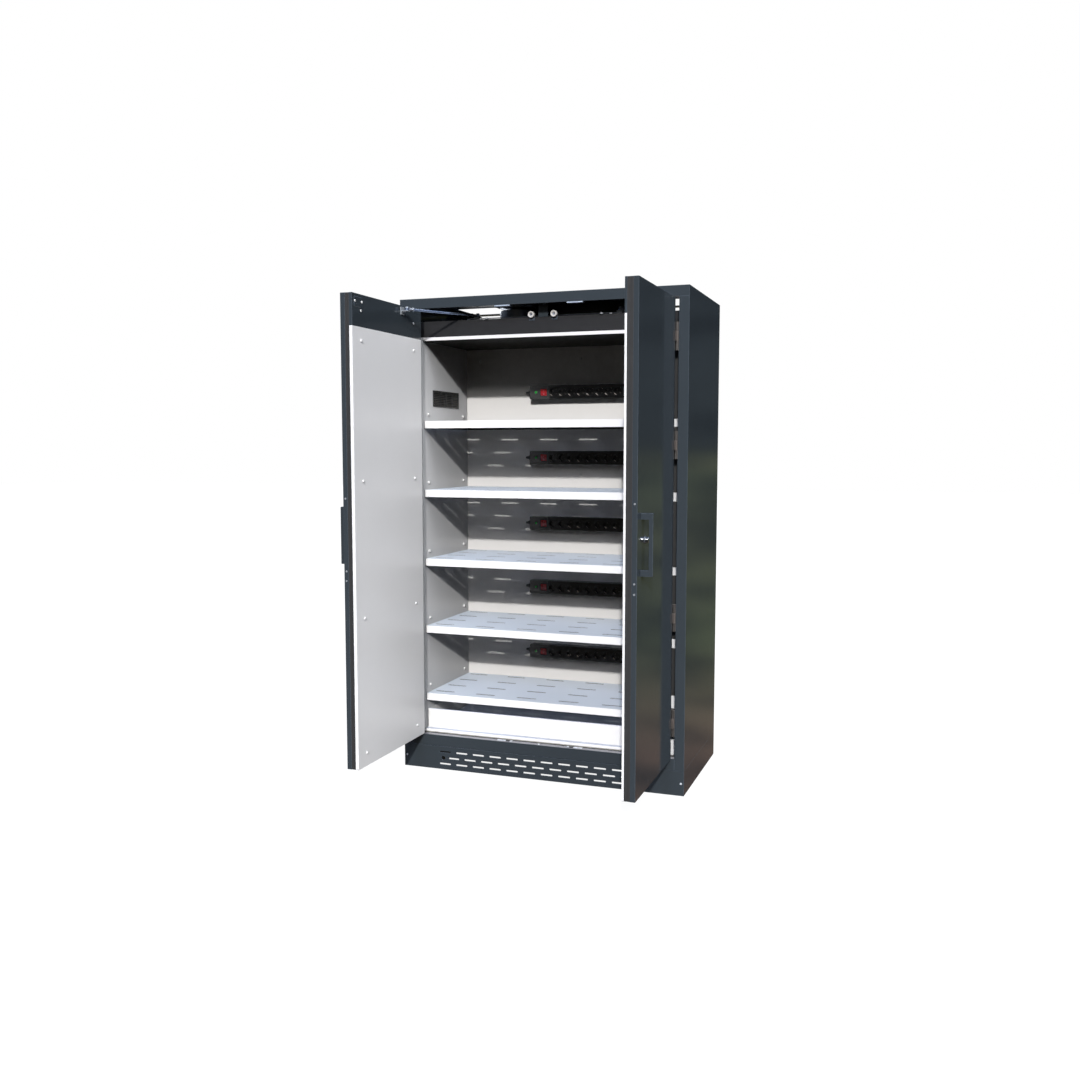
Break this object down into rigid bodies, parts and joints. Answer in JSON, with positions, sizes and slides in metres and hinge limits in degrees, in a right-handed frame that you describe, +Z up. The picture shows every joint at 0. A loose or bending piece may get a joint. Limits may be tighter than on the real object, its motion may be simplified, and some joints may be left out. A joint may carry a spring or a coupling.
{
  "type": "battery charging cabinet",
  "caption": "Fire-resistant double-door cabinet for storing and charging batteries: insulated leaves, slotted shelves, leak tray and a socket strip in each compartment.",
  "frame": {"origin": "on the floor under the middle of the casing, doors not counted", "axes": "+Z up, +X to the right seen from the front, +Y from the front to the back"},
  "size_m": [1.193, 1.16, 1.973],
  "materials": {
    "casing_paint": "semi-gloss anthracite powder coat",
    "liner_white": "white powder coat",
    "liner_grey": "light grey powder coat",
    "fascia_dark": "dark grey powder coat",
    "zinc": "zinc plated",
    "hinge_steel": "phosphated steel",
    "rod_steel": "blue-passivated steel",
    "lock_chrome": "polished",
    "seal_black": "graphite strip",
    "board_mineral": "mineral board",
    "nylon_white": "moulded nylon",
    "grille_black": "moulded",
    "strip_black": "moulded",
    "rocker_red": "moulded",
    "lamp_green": "moulded"
  },
  "bodies": {
    "cabinet": {"base_frame": "casing_paint", "bottom_rail": "casing_paint", "closer_rails": "zinc", "door_buffers": "nylon_white", "exhaust_duct": "zinc", "fascia": "fascia_dark", "frame_hinges": "hinge_steel", "frame_seals": "seal_black", "inner_back": "liner_white", "inner_ceiling": "liner_white", "inner_floor": "liner_white", "inner_wall_left": "liner_grey", "inner_wall_right": "liner_grey", "insulation_back": "board_mineral", "insulation_sides": "board_mineral", "insulation_top_and_floor": "board_mineral", "levelling_feet": "zinc", "plinth_panel": "casing_paint", "power_strip_1": "strip_black", "power_strip_2": "strip_black", "power_strip_3": "strip_black", "power_strip_4": "strip_black", "power_strip_5": "strip_black", "rear_panel": "casing_paint", "roof_panel": "casing_paint", "shelf_1": "liner_white", "shelf_2": "liner_white", "shelf_3": "liner_white", "shelf_4": "liner_white", "shelf_5": "liner_white", "shelf_supports": "zinc", "side_panel_left": "casing_paint", "side_panel_right": "casing_paint", "strike_plates": "zinc", "strip_lamps": "lamp_green", "sump_tray": "liner_white", "top_beam": "casing_paint", "vent_grilles": "grille_black"},
    "door_left": {"door_skin_left": "casing_paint", "door_core_left": "board_mineral", "door_inner_panel_left": "liner_grey", "door_seal_left": "seal_black", "door_fittings_left": "zinc", "door_handle_left": "casing_paint"},
    "closer_rod_left": {"closer_rod_left": "rod_steel"},
    "closer_slider_left": {"closer_slider_left": "zinc"},
    "door_right": {"door_skin_right": "casing_paint", "door_core_right": "board_mineral", "door_inner_panel_right": "liner_grey", "door_seal_right": "seal_black", "door_fittings_right": "zinc", "door_handle_right": "casing_paint"},
    "closer_rod_right": {"closer_rod_right": "rod_steel"},
    "closer_slider_right": {"closer_slider_right": "zinc"},
    "lock_cylinder": {"lock_cylinder": "lock_chrome"},
    "rocker_1": {"rocker_switch_1": "rocker_red"},
    "rocker_2": {"rocker_switch_2": "rocker_red"},
    "rocker_3": {"rocker_switch_3": "rocker_red"},
    "rocker_4": {"rocker_switch_4": "rocker_red"},
    "rocker_5": {"rocker_switch_5": "rocker_red"}
  },
  "joints": [
    {"name": "door_left_hinge", "type": "hinge", "parent": "cabinet", "child": "door_left", "pos_m": [-0.5512, -0.3058, 0.9], "axis": [0, 0, 1], "range_deg": [0, 90]},
    {"name": "closer_rod_left_pivot", "type": "hinge", "parent": "door_left", "child": "closer_rod_left", "pos_m": [-0.481, -0.469, 1.86975], "axis": [0, 0, 1], "range_deg": [-140.33, 0]},
    {"name": "closer_slider_left_pivot", "type": "hinge", "parent": "closer_rod_left", "child": "closer_slider_left", "pos_m": [-0.301, -0.191, 1.86975], "axis": [0, 0, 1], "range_deg": [0, 50.33]},
    {"name": "door_right_hinge", "type": "hinge", "parent": "cabinet", "child": "door_right", "pos_m": [0.5512, -0.3058, 0.9], "axis": [0, 0, 1], "range_deg": [-90, 0]},
    {"name": "closer_rod_right_pivot", "type": "hinge", "parent": "door_right", "child": "closer_rod_right", "pos_m": [0.481, -0.469, 1.86975], "axis": [0, 0, 1], "range_deg": [0, 140.33]},
    {"name": "closer_slider_right_pivot", "type": "hinge", "parent": "closer_rod_right", "child": "closer_slider_right", "pos_m": [0.301, -0.191, 1.86975], "axis": [0, 0, 1], "range_deg": [-50.33, 0]},
    {"name": "lock_turn", "type": "hinge", "parent": "door_right", "child": "lock_cylinder", "pos_m": [0.5494, -0.752, 1.024], "axis": [1, 0, 0], "range_deg": [0, 90]},
    {"name": "rocker_1_tilt", "type": "hinge", "parent": "cabinet", "child": "rocker_1", "pos_m": [-0.141, 0.161, 1.575], "axis": [1, 0, 0], "range_deg": [-16, 0]},
    {"name": "rocker_2_tilt", "type": "hinge", "parent": "cabinet", "child": "rocker_2", "pos_m": [-0.141, 0.161, 1.291], "axis": [1, 0, 0], "range_deg": [-16, 0]},
    {"name": "rocker_3_tilt", "type": "hinge", "parent": "cabinet", "child": "rocker_3", "pos_m": [-0.141, 0.161, 1.003], "axis": [1, 0, 0], "range_deg": [-16, 0]},
    {"name": "rocker_4_tilt", "type": "hinge", "parent": "cabinet", "child": "rocker_4", "pos_m": [-0.141, 0.161, 0.72], "axis": [1, 0, 0], "range_deg": [-16, 0]},
    {"name": "rocker_5_tilt", "type": "hinge", "parent": "cabinet", "child": "rocker_5", "pos_m": [-0.141, 0.161, 0.432], "axis": [1, 0, 0], "range_deg": [-16, 0]}
  ],
  "couplings": [
    {"joint": "closer_rod_left_pivot", "follows": "door_left_hinge", "ratio": -1.5481},
    {"joint": "closer_slider_left_pivot", "follows": "door_left_hinge", "ratio": 0.54811},
    {"joint": "closer_rod_right_pivot", "follows": "door_right_hinge", "ratio": -1.5481},
    {"joint": "closer_slider_right_pivot", "follows": "door_right_hinge", "ratio": 0.54811}
  ]
}
